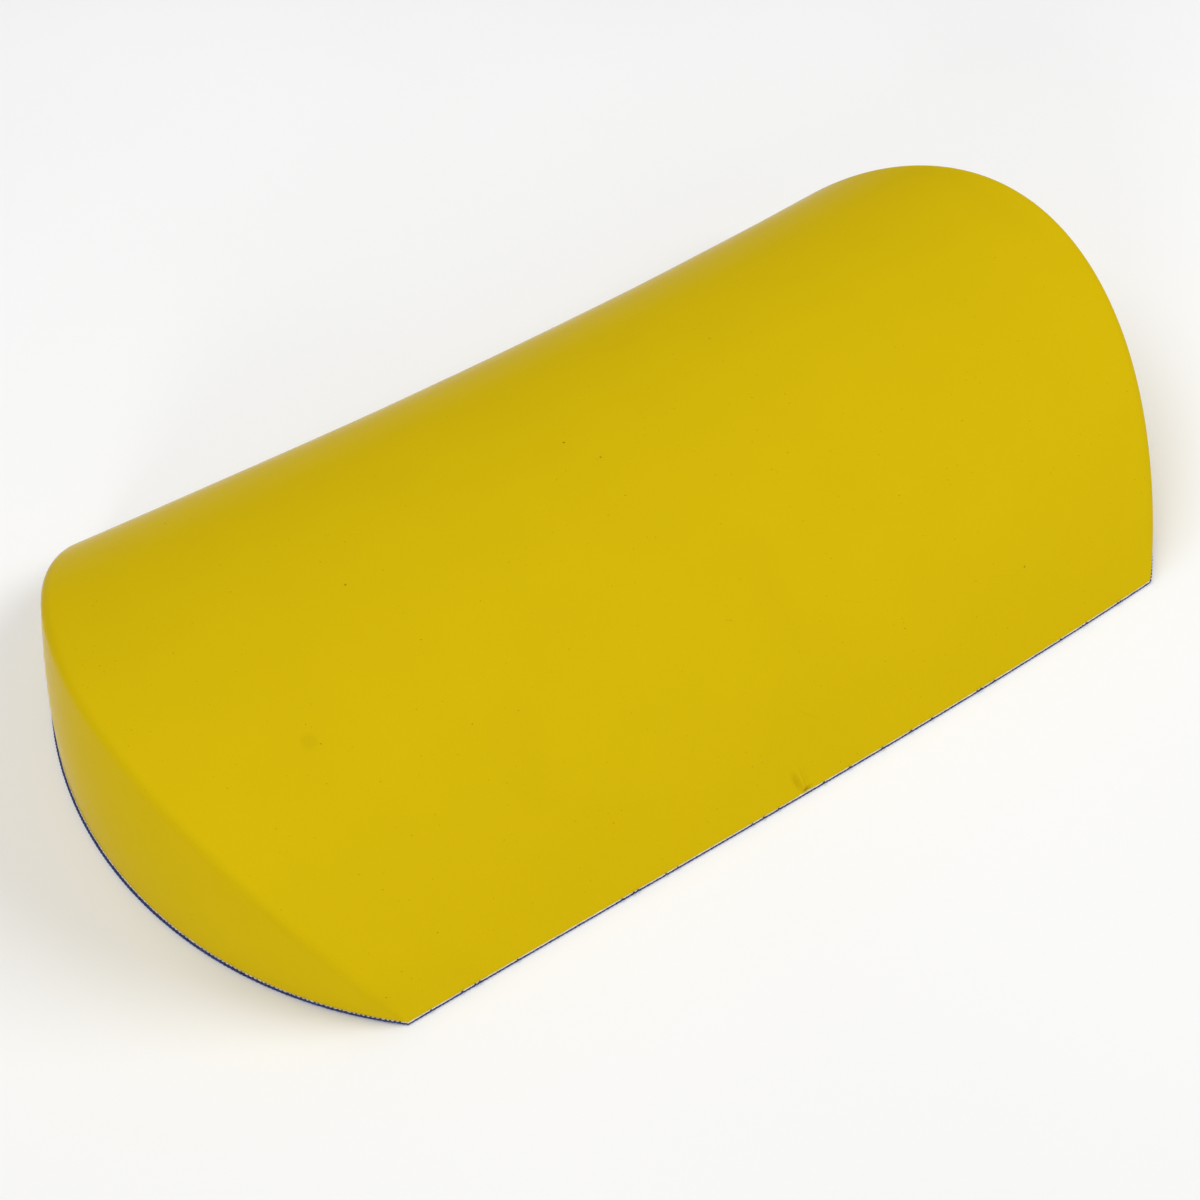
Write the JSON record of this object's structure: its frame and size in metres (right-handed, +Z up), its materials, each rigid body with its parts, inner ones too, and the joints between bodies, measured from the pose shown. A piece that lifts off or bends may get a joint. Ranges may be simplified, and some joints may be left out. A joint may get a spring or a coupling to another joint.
{
  "type": "parking wheel stop",
  "caption": "Half-round yellow wheel stop block with soft crescent-shaped ends and a thin navy cloth sole that grips the floor.",
  "frame": {"origin": "on the floor, in the middle of the sole", "axes": "+X along the block, +Y across it, +Z up through the crest"},
  "size_m": [0.5898, 0.338, 0.1],
  "materials": {
    "skin": "satin yellow moulded polyurethane skin with sparse pinholes",
    "core": "dense closed-cell polyurethane foam",
    "plug": "satin yellow polyurethane, a shade darker than the skin",
    "felt": "cream needled felt",
    "cloth": "navy plain-weave cloth with cream yarns in its cut edge"
  },
  "bodies": {
    "root": {"outer_skin": "skin", "foam_core": "core", "fill_plug": "plug", "backing_felt": "felt", "grip_cloth": "cloth"}
  },
  "joints": []
}
